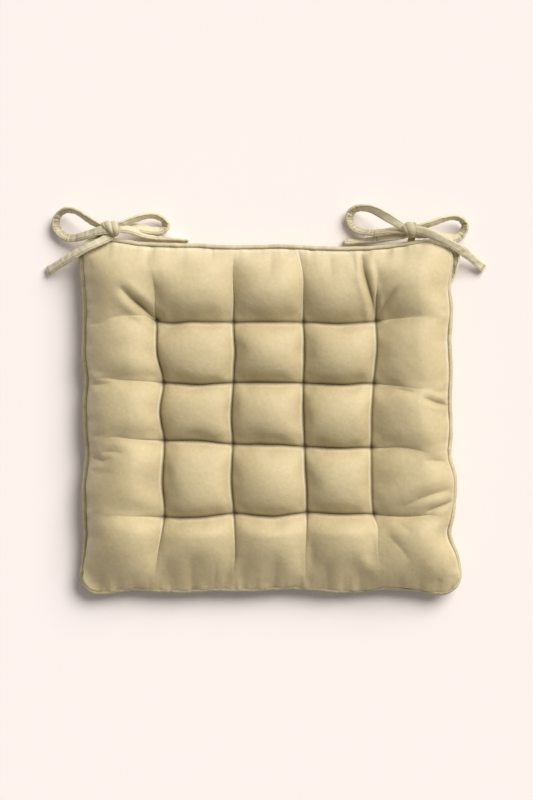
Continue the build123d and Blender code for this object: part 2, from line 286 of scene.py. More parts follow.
def fold_distance(x, y, points):
    """Distance to a broken line, and how far along it the nearest point is, from 0 to 1."""
    best = np.full_like(x, 1e9)
    share = np.zeros_like(x)
    points = [np.array(p, float) for p in points]
    lengths = [np.linalg.norm(b - a) for a, b in zip(points, points[1:])]
    walked = 0.0
    for a, b, length in zip(points, points[1:], lengths):
        along = b - a
        t = np.clip(((x - a[0]) * along[0] + (y - a[1]) * along[1]) / length**2, 0, 1)
        gap = np.hypot(x - a[0] - t * along[0], y - a[1] - t * along[1])
        nearer = gap < best
        best = np.where(nearer, gap, best)
        share = np.where(nearer, (walked + t * length) / sum(lengths), share)
        walked += length
    return best, share


INNER_ROUNDNESS, OUTER_ROUNDNESS = 0.72, 0.92  # powers of the puffs' domes: lower is fuller
SOFT_CREASE = 0.42  # a weak crease's half width, as a share of half a puff


def dome(place, cell, pulls, first_crown, last_crown):
    """How full a puff is across one way: 0 in a crease, 1 on the crown or where nothing pulls."""
    crease = np.clip(np.where(place < 0, cell - 1, cell), 0, CELLS - 2)
    pull = pick(pulls, crease)
    first, last = cell == 0, cell == CELLS - 1
    inner = ~first & ~last
    place = np.abs(place) * inner + (
        np.clip(1 - (1 - place) / 2 / first_crown, 0, 1) * first
        + np.clip(1 - (1 + place) / 2 / last_crown, 0, 1) * last
    )
    sharp = (1 - place**2) ** np.where(inner, INNER_ROUNDNESS, OUTER_ROUNDNESS)
    soft = 1 - np.exp(-(((1 - place) / SOFT_CREASE) ** 2))
    return 1 - pull * (1 - (sharp * pull + soft * (1 - pull)))


def seam_height(x, y):
    """The seam sags a little along the front and the left."""
    return SEAM_HEIGHT - 5.0 * ease(-100, -185, y) - 1.5 * ease(-120, -195, x)


PULL_LOST = 9  # a crease that no longer pulls counts as this much further away
NO_CREASE = 99
PLUMPNESS = 0.06  # how much fuller or flatter than the rest a puff can be


def crease_distance(creases, across, along, ahead=False):
    """Distance to the nearest crease, or with ahead, to the nearest one at a higher x or y."""
    gaps = []
    for crease in creases:
        gap = crease.place(along) - across
        gap = np.where(gap > 0, gap, NO_CREASE) if ahead else np.abs(gap)
        gaps.append(gap + PULL_LOST * (1 - crease.pull(along)))
    return np.min(gaps, axis=0)


def puffs(plan, crown, crease, seed):
    """How far a quilted face lies from the seam's height, and its distances to creases and tufts."""
    x, y = plan.x, plan.y
    across = dome(plan.u, plan.cell_x, [c.pull(y) for c in COLUMNS], LEFT_SLOPE[0], RIGHT_SLOPE[0])
    along = dome(plan.v, plan.cell_y, [c.pull(x) for c in ROWS], FRONT_SLOPE[0], BACK_SLOPE[0])
    plumpness = np.random.default_rng(seed).uniform(-PLUMPNESS, PLUMPNESS, (CELLS, CELLS))
    plumpness = plumpness[plan.cell_x, plan.cell_y] * (1 - plan.u**4) * (1 - plan.v**4)
    fill = across * along * (1 + plumpness)
    saddle = (1 - across) * along**2 + (1 - along) * across**2
    saddle = SADDLE * saddle / (CROWN - CREASE_HEIGHT) * (crown - crease)
    height = (crease + (crown - crease) * fill + saddle) * plan.wall

    tuft_gap = np.full_like(x, 1e9)
    for tuft in TUFTS.reshape(-1, 2):
        tuft_gap = np.minimum(tuft_gap, np.hypot(x - tuft[0], y - tuft[1]))
    height = height - PIT_DEPTH * np.exp(-tuft_gap / PIT_WIDTH)

    crease_gap = np.minimum(crease_distance(COLUMNS, x, y), crease_distance(ROWS, y, x))
    return height, crease_gap, tuft_gap


def band(distance, middle, half_width):
    """1 in the middle of a band, fading to both sides."""
    return np.exp(-(((distance - middle) / half_width) ** 2))


# Painted highlights, light lines of sheen painted into the velvet's colour:
# how strong, how far from the crease or seam, and half how wide
COLUMN_RIM, ROW_RIM, SEAM_RIM = (1.0, 2.3, 0.9), (0.4, 2.8, 1.4), (1.0, 1.8, 2.2)
# Broader painted highlights by the back and the left seams
BACK_GLOW, LEFT_GLOW = (0.8, 12), (0.75, 8)  # how strong, and how far it reaches from the seam


def painted_sheen_lines(plan):
    """Painted sheen: light lines beside each crease and along the seam, broader at the back and the left."""
    column = crease_distance(COLUMNS, plan.x, plan.y, ahead=True)
    row = crease_distance(ROWS, plan.y, plan.x, ahead=True)
    painted_sheen = COLUMN_RIM[0] * band(column, *COLUMN_RIM[1:]) + ROW_RIM[0] * band(row, *ROW_RIM[1:])
    # How much the seam faces the light: the painted highlight along it is strongest there
    brushing_and_light_facing = ease(-0.6, 0.8, LIGHT_X * plan.out_x + LIGHT_Y * plan.out_y)
    seam = SEAM_RIM[0] * (0.3 + 0.7 * brushing_and_light_facing) * band(plan.seam_gap, *SEAM_RIM[1:])
    back = BACK_GLOW[0] * ease(0.3, 1, plan.out_y) * np.exp(-plan.seam_gap / BACK_GLOW[1])
    left = LEFT_GLOW[0] * ease(0.3, 1, -plan.out_x) * np.exp(-plan.seam_gap / LEFT_GLOW[1])
    return np.clip(painted_sheen + seam + back + left, 0, 1)


def add_object(name, data):
    """A new object in the scene."""
    made = bpy.data.objects.new(name, data)
    bpy.context.scene.collection.objects.link(made)
    return made


def grid_mesh(name, points, flip):
    """A mesh from a grid of points."""
    rows, columns = points.shape[:2]
    index = np.arange(rows * columns).reshape(rows, columns)
    quads = np.stack([index[:-1, :-1], index[1:, :-1], index[1:, 1:], index[:-1, 1:]], -1).reshape(-1, 4)
    if flip:
        quads = quads[:, ::-1]
    return new_mesh(name, points.reshape(-1, 3), quads.tolist())


def new_mesh(name, points, faces):
    """An object from points in millimetres."""
    mesh = bpy.data.meshes.new(name)
    mesh.from_pydata((np.asarray(points) * MM).tolist(), [], faces)
    mesh.validate()
    mesh.shade_smooth()
    return add_object(name, mesh)


def add_attribute(piece, name, values):
    """A number at each point that a material can read."""
    attribute = piece.data.attributes.new(name, "FLOAT", "POINT")
    attribute.data.foreach_set("value", np.asarray(values, np.float32).ravel())


# Beside a fold: its ridge's height in fold depths, and the ridge's place and width in fold widths
RIDGE_HEIGHT, RIDGE_PLACE, RIDGE_WIDTH = 0.22, 2.6, 1.4
FOLD_LOST = 5  # where a fold has run out, it counts as a crease this much further away
FULL_FOLD = 5  # a fold this deep gets as much painted shade as a crease


def press_folds(plan, height, crease_gap):
    """The pad's own folds pressed into the top cover, each with a low ridge beside it."""
    for points, depth, width in FOLDS:
        away, share = fold_distance(plan.x, plan.y, points)
        taper = np.sin(math.pi * np.clip(share * 0.9 + 0.08, 0.02, 0.98)) ** 0.6
        inland = taper * ease(0, 10, plan.seam_gap)
        ridge = band(away, RIDGE_PLACE * width, RIDGE_WIDTH * width)
        height = height - depth * inland * np.exp(-((away / width) ** 1.1))
        height = height + RIDGE_HEIGHT * depth * inland * ridge
        crease_gap = np.minimum(crease_gap, away + FOLD_LOST * (1 - taper * min(depth / FULL_FOLD, 1)))
    return height, crease_gap


SIDES_APART = 400.0  # so that no two sides of the seam have the same puckers
PUCKER_LENGTH, FINE_PUCKER_LENGTH, PUCKER_REACH = 13, 8, 7
SWELL, SWELL_LENGTH = 0.35, 52  # the slow unevenness of the stuffing
FLAT_GAP = 0.5  # how far the flat underside stays off the surface that it rests on
FLAT_EDGE = 3.0  # the rounding from a puff's side to its flat underside
BULGE_REACH = 50


def cover_points(plan, seed, up):
    """The top (up is 1) or bottom (up is -1) cover's points, before the cloth pulls on them."""
    x, y, gap = plan.x, plan.y, plan.seam_gap
    if up > 0:
        crown, crease = CROWN - SEAM_HEIGHT, CREASE_HEIGHT - SEAM_HEIGHT
        height, crease_gap, tuft_gap = puffs(plan, crown, crease, seed)
        height, crease_gap = press_folds(plan, height, crease_gap)
    else:
        height, crease_gap, tuft_gap = puffs(plan, UNDER_CROWN, UNDER_CREASE, seed)

    # Puckers where the seam gathers the velvet
    edge = np.exp(-gap / PUCKER_REACH)
    side = np.where(np.abs(plan.out_x) > np.abs(plan.out_y), np.sign(x), 2 + np.sign(y)) * SIDES_APART
    puckers = ripple(plan.along_seam + 0.2 * gap, side, PUCKER_LENGTH, seed + 1)
    puckers = puckers + 0.5 * ripple(plan.along_seam, side, FINE_PUCKER_LENGTH, seed + 2)
    gathered = 0.25 + 0.3 * np.abs(plan.out_y)
    height = height + gathered * puckers * edge * ease(0, 2, gap)
    height = height + SWELL * ripple(x, y, SWELL_LENGTH, seed + 3) * ease(0, 25, gap)
    if up < 0:
        # The puffs lie flat where the pad's weight rests on them.
        limit = SEAM_HEIGHT - FLAT_GAP
        rounded = limit - FLAT_EDGE * np.exp(-(height - limit + FLAT_EDGE) / FLAT_EDGE)
        height = np.where(height > limit - FLAT_EDGE, rounded, height)

    # The stuffed edge leans out over the piping, most along the front and at the back right corner
    lean = 1.0
    if up > 0:
        lean = 1.2 + 3.3 * ease(-110, -178, y) + 0.8 * ease(0, 180, x)
        lean = lean + 4.0 * np.exp(-(((x - 190) / 30) ** 2) - ((y - 168) / 34) ** 2)
    bulge = lean * (1 - np.exp(-gap / 1.6)) * np.clip(1 - gap / BULGE_REACH, 0, 1) ** 2
    bulge = bulge + 0.4 * gathered * puckers * edge * ease(0, 4, gap)
    sag = (seam_height(x, y) - SEAM_HEIGHT) * ease(60, 0, gap)
    z = SEAM_HEIGHT + sag + up * np.maximum(height, 0.0)
    points = np.stack([x + bulge * plan.out_x, y + bulge * plan.out_y, z], -1)
    return points, crease_gap, tuft_gap


ON_SEAM, ON_CREASE = 0.5, 0.6  # points nearer than this are sewn down
LEAST_HOLD = 0.02


def sewn_down(plan):
    """How firmly each point is held: the seam and the tufts fully, a crease as hard as it pulls."""
    held = np.where(plan.seam_gap < ON_SEAM, 1.0, 0.0)
    for creases, across, along in ((COLUMNS, plan.x, plan.y), (ROWS, plan.y, plan.x)):
        for crease in creases:
            near = np.abs(across - crease.place(along)) < ON_CREASE
            held = np.maximum(held, crease.pull(along) * near)
    return held


def settle(name, seed, up):
    """Cloth simulation: how the stuffing's pressure moves a cover's points between its stitches."""
    plan = Plan(CLOTH_STEPS)
    start = cover_points(plan, seed, up)[0]
    count = start.shape[0]
    cover = grid_mesh(name, start, up < 0)
    held = cover.vertex_groups.new(name="held")
    for vertex, weight in enumerate(sewn_down(plan).ravel()):
        if weight > LEAST_HOLD:
            held.add([vertex], float(weight), "REPLACE")
    cloth = cover.modifiers.new("cloth", "CLOTH")
    cloth.settings.vertex_group_mass = "held"
    cloth.settings.quality = 6
    cloth.settings.mass = 0.3
    cloth.settings.tension_stiffness = 20
    cloth.settings.compression_stiffness = 20
    cloth.settings.shear_stiffness = 8
    cloth.settings.bending_stiffness = 0.6
    cloth.settings.shrink_min = -0.03  # the velvet is cut a little larger than the puffs it covers
    cloth.settings.use_pressure = True
    cloth.settings.uniform_pressure_force = 4
    cloth.settings.effector_weights.gravity = 0
    cloth.collision_settings.use_collision = False
    cloth.point_cache.frame_end = CLOTH_FRAMES
    for step in range(1, CLOTH_FRAMES + 1):
        bpy.context.scene.frame_set(step)
    puffed = cover.evaluated_get(bpy.context.evaluated_depsgraph_get())
    end = np.array([v.co for v in puffed.data.vertices], float).reshape(count, count, 3) / MM
    bpy.context.scene.frame_set(1)
    bpy.data.objects.remove(cover)
    move = end - start
    size = np.linalg.norm(move, axis=-1, keepdims=True)
    return move * np.minimum(1, CLOTH_CAP / np.maximum(size, 1e-6))


def spread(move, steps):
    """The coarse cloth's movement carried over to a finer grid of the same cells, smoothly."""
    coarse = np.add(*cell_steps(CELLS, CLOTH_STEPS, CROWDING))
    fine = np.add(*cell_steps(CELLS, steps, CROWDING))
    for axis in (0, 1):
        rows = np.moveaxis(move, axis, -1)
        flat = rows.reshape(-1, rows.shape[-1])
        flat = np.array([np.interp(fine, coarse, row) for row in flat])
        move = np.moveaxis(flat.reshape(*rows.shape[:-1], len(fine)), -1, axis)
    for _ in range(2 * (steps // CLOTH_STEPS) ** 2):
        for axis in (0, 1):
            rows = np.moveaxis(move, axis, 0)
            rows = np.concatenate([rows[:1], (rows[:-2] + 2 * rows[1:-1] + rows[2:]) / 4, rows[-1:]])
            move = np.moveaxis(rows, 0, axis)
    return move


CREASE_LINE, CREASE_SHADE, TUFT_SHADE = 1.35, 6, 3.2  # how far the painted shade reaches from each


def cover_piece(name, seed, up, steps):
    """A cover settled by the cloth simulation, with the masks that paint shade and highlights into its
    velvet.
    """
    plan = Plan(steps)
    points, crease_gap, tuft_gap = cover_points(plan, seed, up)
    points = points + spread(settle(name, seed, up), steps)
    points[..., 2] = np.maximum(points[..., 2], LOWEST)
    cover = grid_mesh(name, points, up < 0)
    # Painted shade: a dark line in each crease and fold, a wider shade beside them, and dark at the tufts'
    # pits
    add_attribute(cover, "crease", np.exp(-((crease_gap / CREASE_LINE) ** 1.5)))
    add_attribute(cover, "shade", np.exp(-np.clip(crease_gap, 0, None) / CREASE_SHADE))
    add_attribute(cover, "tuft", np.exp(-((tuft_gap / TUFT_SHADE) ** 2)))
    add_attribute(cover, "painted_sheen", painted_sheen_lines(plan))
    return cover


# ---------------------------------------------------------------- tubes and strips

PIPING_RINGS, PIPING_SIDES = 1400, 16
PIPING_SINK = 0.9  # how far the seam draws the piping in
SEAM_STEPS = 32  # seam points in each puff


def seam_ring(count, outward):
    """Points evenly round the seam, moved outward, each with its way out and its distance round."""
    plan = Plan(SEAM_STEPS, 0.0)
    last = plan.x.shape[0] - 1
    border = [(i, 0) for i in range(last)] + [(last, j) for j in range(last)]
    border += [(i, last) for i in range(last, 0, -1)] + [(0, j) for j in range(last, 0, -1)]
    ring = np.array([(plan.x[i, j], plan.y[i, j]) for i, j in border])
    closed = np.vstack([ring, ring[:1]])
    walked = np.concatenate([[0], np.cumsum(np.hypot(*np.diff(closed, axis=0).T))])
    at = np.linspace(0, walked[-1], count, endpoint=False)
    line = np.stack([np.interp(at, walked, closed[:, k]) for k in range(2)], -1)
    for _ in range(4):
        line = (np.roll(line, 1, 0) + 2 * line + np.roll(line, -1, 0)) / 4
    run = np.roll(line, -1, 0) - np.roll(line, 1, 0)
    run /= np.linalg.norm(run, axis=1)[:, None]
    out = np.stack([run[:, 1], -run[:, 0]], -1)
    return line + outward * out, out, at


def tube_faces(rings, sides, closed):
    """Faces of a tube made of rings of points: one closed into a loop, or one with its two ends shut."""
    faces = []
    for i in range(rings if closed else rings - 1):
        here, there = i * sides, ((i + 1) % rings) * sides
        for j in range(sides):
            k = (j + 1) % sides
            faces.append((here + j, here + k, there + k, there + j))
    if not closed:
        faces.append(tuple(range(sides - 1, -1, -1)))
        faces.append(tuple((rings - 1) * sides + i for i in range(sides)))
    return faces


def piping_piece():
    """The piping round the seam, a little uneven, with small slanting pleats in its velvet."""
    radius = PIPING / 2
    line, out, at = seam_ring(PIPING_RINGS, radius - PIPING_SINK)
    wander = 0.15 * ripple_along(at, 55, 31) + 0.09 * ripple_along(at, 21, 32)
    lift = 0.4 * ripple_along(at, 70, 33) + 0.2 * ripple_along(at, 18, 34)
    angles = np.arange(PIPING_SIDES) * 2 * math.pi / PIPING_SIDES
    slanting = at[:, None] + 2.5 * np.sin(angles)[None]
    fat = radius * (1 + 0.035 * ripple(slanting, slanting * 0, 7, 35))
    reach = wander[:, None] + fat * np.cos(angles)[None]
    z = seam_height(line[:, 0], line[:, 1])[:, None] + lift[:, None] + fat * np.sin(angles)[None]
    points = np.concatenate([line[:, None] + out[:, None] * reach[..., None], z[..., None]], -1)
    piece = new_mesh("piping_velvet", points.reshape(-1, 3), tube_faces(PIPING_RINGS, PIPING_SIDES, True))
    # Painted shade: dark on the inside, under the cover's edge, widest on the left, and wherever the piping
    # faces the front left, away from the light
    under = ease(0.1, -0.7, np.cos(angles)[None] - 0.5 * ease(0.3, 1, -out[:, :1]))
    away_from_light = 0.34 * ease(0.2, -0.6, out @ np.array([LIGHT_X, LIGHT_Y]))[:, None]
    add_attribute(piece, "shade", np.clip(0.8 * under + away_from_light, 0, 1))
    return piece


STRAND_HALF, STRAND_RADIUS = 2.4, 0.45
STRAND_RINGS, STRAND_SIDES = 9, 6
STITCH_TOP, STITCH_UNDER = 2.6, -5.6  # from the seam's height, at the bottom of the pits


def strand_points(centre, turn, up):
    """One strand of a tuft's stitch, arched over the pit's bottom, as rings of points."""
    run = np.array([math.cos(turn), math.sin(turn), 0])
    side = np.array([-run[1], run[0], 0])
    points = []
    for s in np.linspace(-STRAND_HALF, STRAND_HALF, STRAND_RINGS):
        middle = centre + run * s + np.array([0, 0, up * (0.9 - 0.12 * s * s)])
        for a in range(STRAND_SIDES):
            angle = a * 2 * math.pi / STRAND_SIDES
            out = side * math.cos(angle) + np.array([0, 0, 1]) * math.sin(angle)
            points.append(middle + STRAND_RADIUS * out)
    return points


def tuft_stitch_piece():
    """Each tuft's three strands of thread in its pit, top and bottom."""
    points, faces = [], []
    for row, column in np.ndindex(4, 4):
        for up, depth in ((1, STITCH_TOP), (-1, STITCH_UNDER)):
            centre = np.array([*TUFTS[row, column], SEAM_HEIGHT + depth])
            for strand in (-1, 0, 1):
                start = len(points)
                turn = 0.5 * strand + 0.3 * math.sin(5 * row + 3 * column)
                points += strand_points(centre, turn, up)
                tube = tube_faces(STRAND_RINGS, STRAND_SIDES, False)
                faces += [tuple(start + i for i in face) for face in tube]
    return new_mesh("tuft_stitches", np.array(points), faces)


# ---------------------------------------------------------------- ties

STRAP_WIDTH = 9.7
STRAP_THICKNESS = 3.5
SEAM_ACROSS, SEAM_HALF = 0.66, 0.09  # a tie's long seam, from its middle (0) to its edge (1)
SEAM_DEPTH = 0.45
HEM, HEM_HALF, HEM_DEPTH = 3.2, 0.5, 0.4  # the stitches across a tie's end
END_ROUNDING = 1.6
PLEAT_LENGTH, PLEAT_HEIGHT = 3.3, 0.5
LINE_STEP = 0.7

LEFT_SIDE_TIE = [(-184.5, 139, 15.5), (-193, 149, 12), (-194, 163, 11), (-191, 178, 11),
                 (-181, 188.5, 14), (-174, 191, 21.5)]
LEFT_INNER_LOOP = [(-160, 199.5, 30), (-147, 204.5, 30), (-132, 211, 24), (-118, 212.5, 13.5),
                   (-107.5, 205.5, 6), (-109, 197.5, 5.5), (-121, 195.8, 10), (-138, 199.5, 19),
                   (-160, 198, 24)]
LEFT_OUTER_TAIL = [(-166, 190, 27), (-176, 183.5, 31), (-190, 177.5, 31.5), (-204, 170.5, 25),
                   (-219, 161.5, 13), (-234, 153.5, 4)]
LEFT_BACK_TIE = [(-167.5, 177.5, 15.5), (-167.5, 183, 15), (-166.5, 188.6, 15.4), (-166.5, 193.5, 17.5),
                 (-167.5, 196, 22)]
LEFT_OUTER_LOOP = [(-175, 199.5, 25.5), (-188, 207, 26), (-202, 216.5, 20.5), (-215.5, 218.5, 12),
                   (-225.5, 209, 6), (-224, 196, 5.5), (-210, 187, 9), (-193, 190.5, 21), (-175, 196, 31)]
LEFT_INNER_TAIL = [(-160, 198.5, 30.5), (-147, 197, 28), (-133, 192.4, 16), (-116, 189, 6),
                   (-100, 187.4, 5), (-84, 186, 4.8)]
RIGHT_SIDE_TIE = [(184.5, 138, 15.5), (191.5, 144, 15), (196.3, 158, 16), (197, 173, 15),
                  (190, 187, 12), (174, 190, 13.5), (157, 191, 21.5)]
RIGHT_INNER_LOOP = [(140.5, 199, 30), (127, 208, 30), (111, 218, 22.5), (95.5, 221.5, 12), (85.5, 216, 5.5),
                    (85, 205, 4.8), (92.5, 196.5, 6), (107, 193.8, 14), (123, 195.5, 20), (140.5, 196.5, 24)]
RIGHT_OUTER_TAIL = [(150, 197, 31.5), (162, 194.5, 34), (178, 188, 33.5), (195, 179.5, 28.5),
                    (207, 172.5, 18.5), (218, 164, 8.5), (228, 155.5, 3.5)]
RIGHT_BACK_TIE = [(148, 177.5, 15.5), (149.5, 183, 15), (151, 188.6, 15.4), (150.5, 193.5, 17.5),
                  (148, 196, 22)]
RIGHT_OUTER_LOOP = [(155.5, 199, 30.5), (169, 202, 30), (183, 208, 25), (197, 211, 16), (207.5, 205.5, 9),
                    (207.5, 197, 7), (199, 188, 9), (186, 188.5, 17), (171, 191.5, 23), (155.5, 196, 24)]
RIGHT_INNER_TAIL = [(140.5, 190, 22), (127, 188.8, 17), (112, 187.2, 9), (98, 185.8, 5.4), (88, 185.2, 5.1),
                    (79.5, 184.8, 5.1)]

# Which way a tie's width points. In a loop the upper edge leans outward all the way round.
ACROSS = (1, 0, 0)
OUTWARD = (0.75, 0, 0.65)
UPRIGHT = (0, 0, 1)
BACK_FLAT, BACK_LOW, BACK_HALF, BACK_STEEP = (0, 1, 0.2), (0, 0.9, 0.45), (0, 0.7, 0.7), (0, 0.45, 0.9)
FRONT_DOWN, FRONT_FLAT, FRONT_LOW = (0, -1, -0.4), (0, -1, 0.1), (0, -0.9, 0.4)
FRONT_HALF, FRONT_STEEP = (0, -0.7, 0.7), (0, -0.45, 0.9)
TIP_LEFT = [(-0.35, 0.6, 0.7), (-0.6, 0.35, 0.7), (-0.75, -0.1, 0.65), (-0.5, -0.6, 0.6)]
TIP_RIGHT = [(0.35, 0.6, 0.7), (0.6, 0.35, 0.7), (0.75, -0.1, 0.65), (0.5, -0.6, 0.6)]

LEFT_TIE_A = [
    (LEFT_SIDE_TIE, [UPRIGHT] * 5 + [BACK_HALF]),
    (LEFT_INNER_LOOP, [BACK_HALF, BACK_HALF, *TIP_RIGHT, FRONT_LOW, FRONT_LOW, FRONT_FLAT]),
    (LEFT_OUTER_TAIL, [FRONT_FLAT, FRONT_LOW, FRONT_LOW, FRONT_LOW, FRONT_LOW, FRONT_FLAT]),
]
LEFT_TIE_B = [
    (LEFT_BACK_TIE, [ACROSS, ACROSS, ACROSS, ACROSS, BACK_HALF]),
    (LEFT_OUTER_LOOP, [BACK_STEEP, BACK_HALF, *TIP_LEFT, FRONT_LOW, FRONT_LOW, FRONT_FLAT]),
    (LEFT_INNER_TAIL, [FRONT_FLAT, FRONT_LOW, FRONT_HALF, FRONT_STEEP, UPRIGHT, UPRIGHT]),
]
RIGHT_TIE_A = [
    (RIGHT_SIDE_TIE, [OUTWARD] * 5 + [UPRIGHT, BACK_HALF]),
    (RIGHT_INNER_LOOP, [BACK_FLAT, BACK_FLAT, BACK_LOW, *TIP_LEFT, FRONT_STEEP, FRONT_STEEP, FRONT_HALF]),
    (RIGHT_OUTER_TAIL, [FRONT_FLAT] + [FRONT_DOWN] * 5 + [FRONT_FLAT]),
]
RIGHT_TIE_B = [
    (RIGHT_BACK_TIE, [ACROSS, ACROSS, OUTWARD, OUTWARD, BACK_HALF]),
    (RIGHT_OUTER_LOOP, [BACK_STEEP, BACK_HALF, *TIP_RIGHT, FRONT_LOW, FRONT_LOW, FRONT_LOW, FRONT_HALF]),
    (RIGHT_INNER_TAIL, [FRONT_HALF, FRONT_HALF, FRONT_HALF, FRONT_STEEP, FRONT_STEEP, FRONT_STEEP]),
]


def route_line(name, route):
    """Points read along the smooth line that has the route's points as its control points."""
    data = bpy.data.curves.new(name + "_line", "CURVE")
    data.dimensions = "3D"
    spline = data.splines.new("NURBS")
    spline.points.add(len(route) - 1)
    for point, place in zip(spline.points, route):
        point.co = (*(v * MM for v in place), 1)
    spline.order_u = 3
    spline.use_endpoint_u = True
    spline.resolution_u = 14
    carrier = add_object(name + "_line", data)
    bpy.context.view_layer.update()
    line = bpy.data.meshes.new_from_object(carrier)
    points = np.array([v.co for v in line.vertices], float) / MM
    bpy.data.objects.remove(carrier)
    bpy.data.meshes.remove(line)
    bpy.data.curves.remove(data)
    keep = np.concatenate([[True], np.linalg.norm(np.diff(points, axis=0), axis=1) > 1e-4])
    return points[keep]


def unit(v):
    """Vectors made one long."""
    return v / np.maximum(np.linalg.norm(v, axis=-1, keepdims=True), 1e-9)


def smoothed(values, times):
    """Values averaged with their neighbours, over and over, with the two end ones kept."""
    for _ in range(times):
        values[1:-1] = (values[:-2] + 2 * values[1:-1] + values[2:]) / 4
    return values


def strip_section(width, thickness):
    """A flat strip's section with rounded edges and points along its seam: across and through it."""
    over = np.array([-1, -0.97, -0.9, -0.78, -0.55, -0.25, 0.05, 0.3, 0.48, 0.58, SEAM_ACROSS,
                     0.74, 0.82, 0.9, 0.97, 1])
    edge = np.concatenate([over, over[-2:0:-1]])
    outer = np.where(np.arange(len(edge)) < len(over), 1, -1)
    return edge * width / 2, outer * np.sqrt(1 - edge**6) * thickness / 2


def width_directions(route, leans, path, at, run):
    """The way a strip's width points at each point of its path, eased from one lean to the next."""
    marks, last = [], 0
    search = int(80 / LINE_STEP)  # longer than any run, so that a loop's two sides aren't mixed up
    for point in route:
        last += int(np.argmin(np.linalg.norm(path[last:last + search] - np.array(point), axis=1)))
        marks.append(at[last] + 1e-3 * len(marks))
    wide = np.stack([np.interp(at, marks, [lean[k] for lean in leans]) for k in range(3)], -1)
    for _ in range(30):
        wide = smoothed(unit(wide - run * np.sum(wide * run, axis=1)[:, None]), 1)
    return unit(wide - run * np.sum(wide * run, axis=1)[:, None])


def strip_relief(at, edge, crumple, inward, seed):
    """What shapes a tie's two faces: pleats inside its bends, and a slow bend and cup in its width."""
    along, over = np.meshgrid(at, edge, indexing="ij")
    stripes = np.sin(at * 2 * math.pi / PLEAT_LENGTH + 1.9 * ripple_along(at, 12, seed + 1))[:, None]
    stripes = stripes + 0.5 * over + 0.6 * ripple(along, 4 * over, 5, seed + 5)
    pleats = np.clip(stripes, -1, 1) * crumple[:, None] * (inward > 0)
    bend = 0.14 * ripple(along + 1.2 * over, 3 * over, 6, seed + 4)
    cup = 0.35 * (over**2 - 0.4) * ripple_along(at, 34, seed + 2)[:, None]
    return pleats, bend + cup


def strap_piece(name, parts, seed):
    """A flat sewn tie: parts is a list of (route, leans), and a lean is the way its width points."""
    route = [point for points, _ in parts for point in points]
    leans = [lean for _, some in parts for lean in some]
    line = route_line(name, route)
    walked = np.concatenate([[0], np.cumsum(np.linalg.norm(np.diff(line, axis=0), axis=1))])
    length = walked[-1]
    at = np.linspace(0, length, int(length / LINE_STEP))
    path = np.stack([np.interp(at, walked, line[:, k]) for k in range(3)], -1)
    run = unit(np.gradient(path, axis=0))
    turn = np.gradient(run, axis=0)
    wide = width_directions(route, leans, path, at, run)
    face = np.cross(run, wide)

    # Crumpled where it bends, and here and there along the rest; narrowing at its stitched end
    across, through = strip_section(STRAP_WIDTH, STRAP_THICKNESS)
    edge = across / (STRAP_WIDTH / 2)
    bent = ease(0.02, 0.075, np.linalg.norm(turn, axis=1) / np.gradient(at))
    crumple = smoothed(np.maximum(bent, 0.55 * ease(0.5, 1.4, ripple_along(at, 38, seed + 6))), 12)
    end = np.clip((length - at) / END_ROUNDING, 0, 1)
    narrowing = np.sqrt(np.clip(1 - (1 - end) ** 2, 0.02, 1))
    width = (1 + 0.06 * ripple_along(at, 26, seed) - 0.06 * crumple) * narrowing
    fullness = (1 + 0.1 * ripple_along(at, 30, seed + 3) + 0.3 * crumple) * narrowing

    # Round a bend the inner face gathers in pleats and the outer one stays smooth.
    inward = np.sign(np.sum(face * turn, axis=1))[:, None] * np.sign(through)[None]
    pleats, bent_width = strip_relief(at, edge, crumple, inward, seed)
    seam = band(edge, SEAM_ACROSS, SEAM_HALF)
    stitched = band(length - at, HEM, HEM_HALF)[:, None]
    sunk = -SEAM_DEPTH * seam - HEM_DEPTH * stitched * (np.abs(edge) < 0.85)
    pleated = PLEAT_HEIGHT * (pleats - 0.4 * crumple[:, None]) * (np.abs(edge) < 0.95)
    lift = through * fullness[:, None] + (sunk + pleated) * np.sign(through) + bent_width
    points = (
        path[:, None]
        + wide[:, None] * (across[None] * width[:, None])[..., None]
        + face[:, None] * lift[..., None]
    )
    points[..., 2] = np.maximum(points[..., 2], LOWEST)
    piece = new_mesh(name, points.reshape(-1, 3), tube_faces(len(at), len(across), False))
    # Darker along its seam and hem lines, and painted shade in its pleats' grooves
    add_attribute(piece, "crease", np.clip(seam + stitched + 0.85 * np.clip(-pleats, 0, 1), 0, 1))
    return piece, path * MM, length * MM


KNOT_RINGS, KNOT_ACROSS = 120, 45
KNOT_RADIUS = 5.6
KNOT_HALF_THICKNESS = 1.7
KNOT_FRONT_IN = 1.2  # how much nearer to the middle its front is
FOLDS_LOST = 0.35  # how much lower its folds are at the front
LAST_FOLD, LAST_FOLD_HALF = 0.68, 0.17


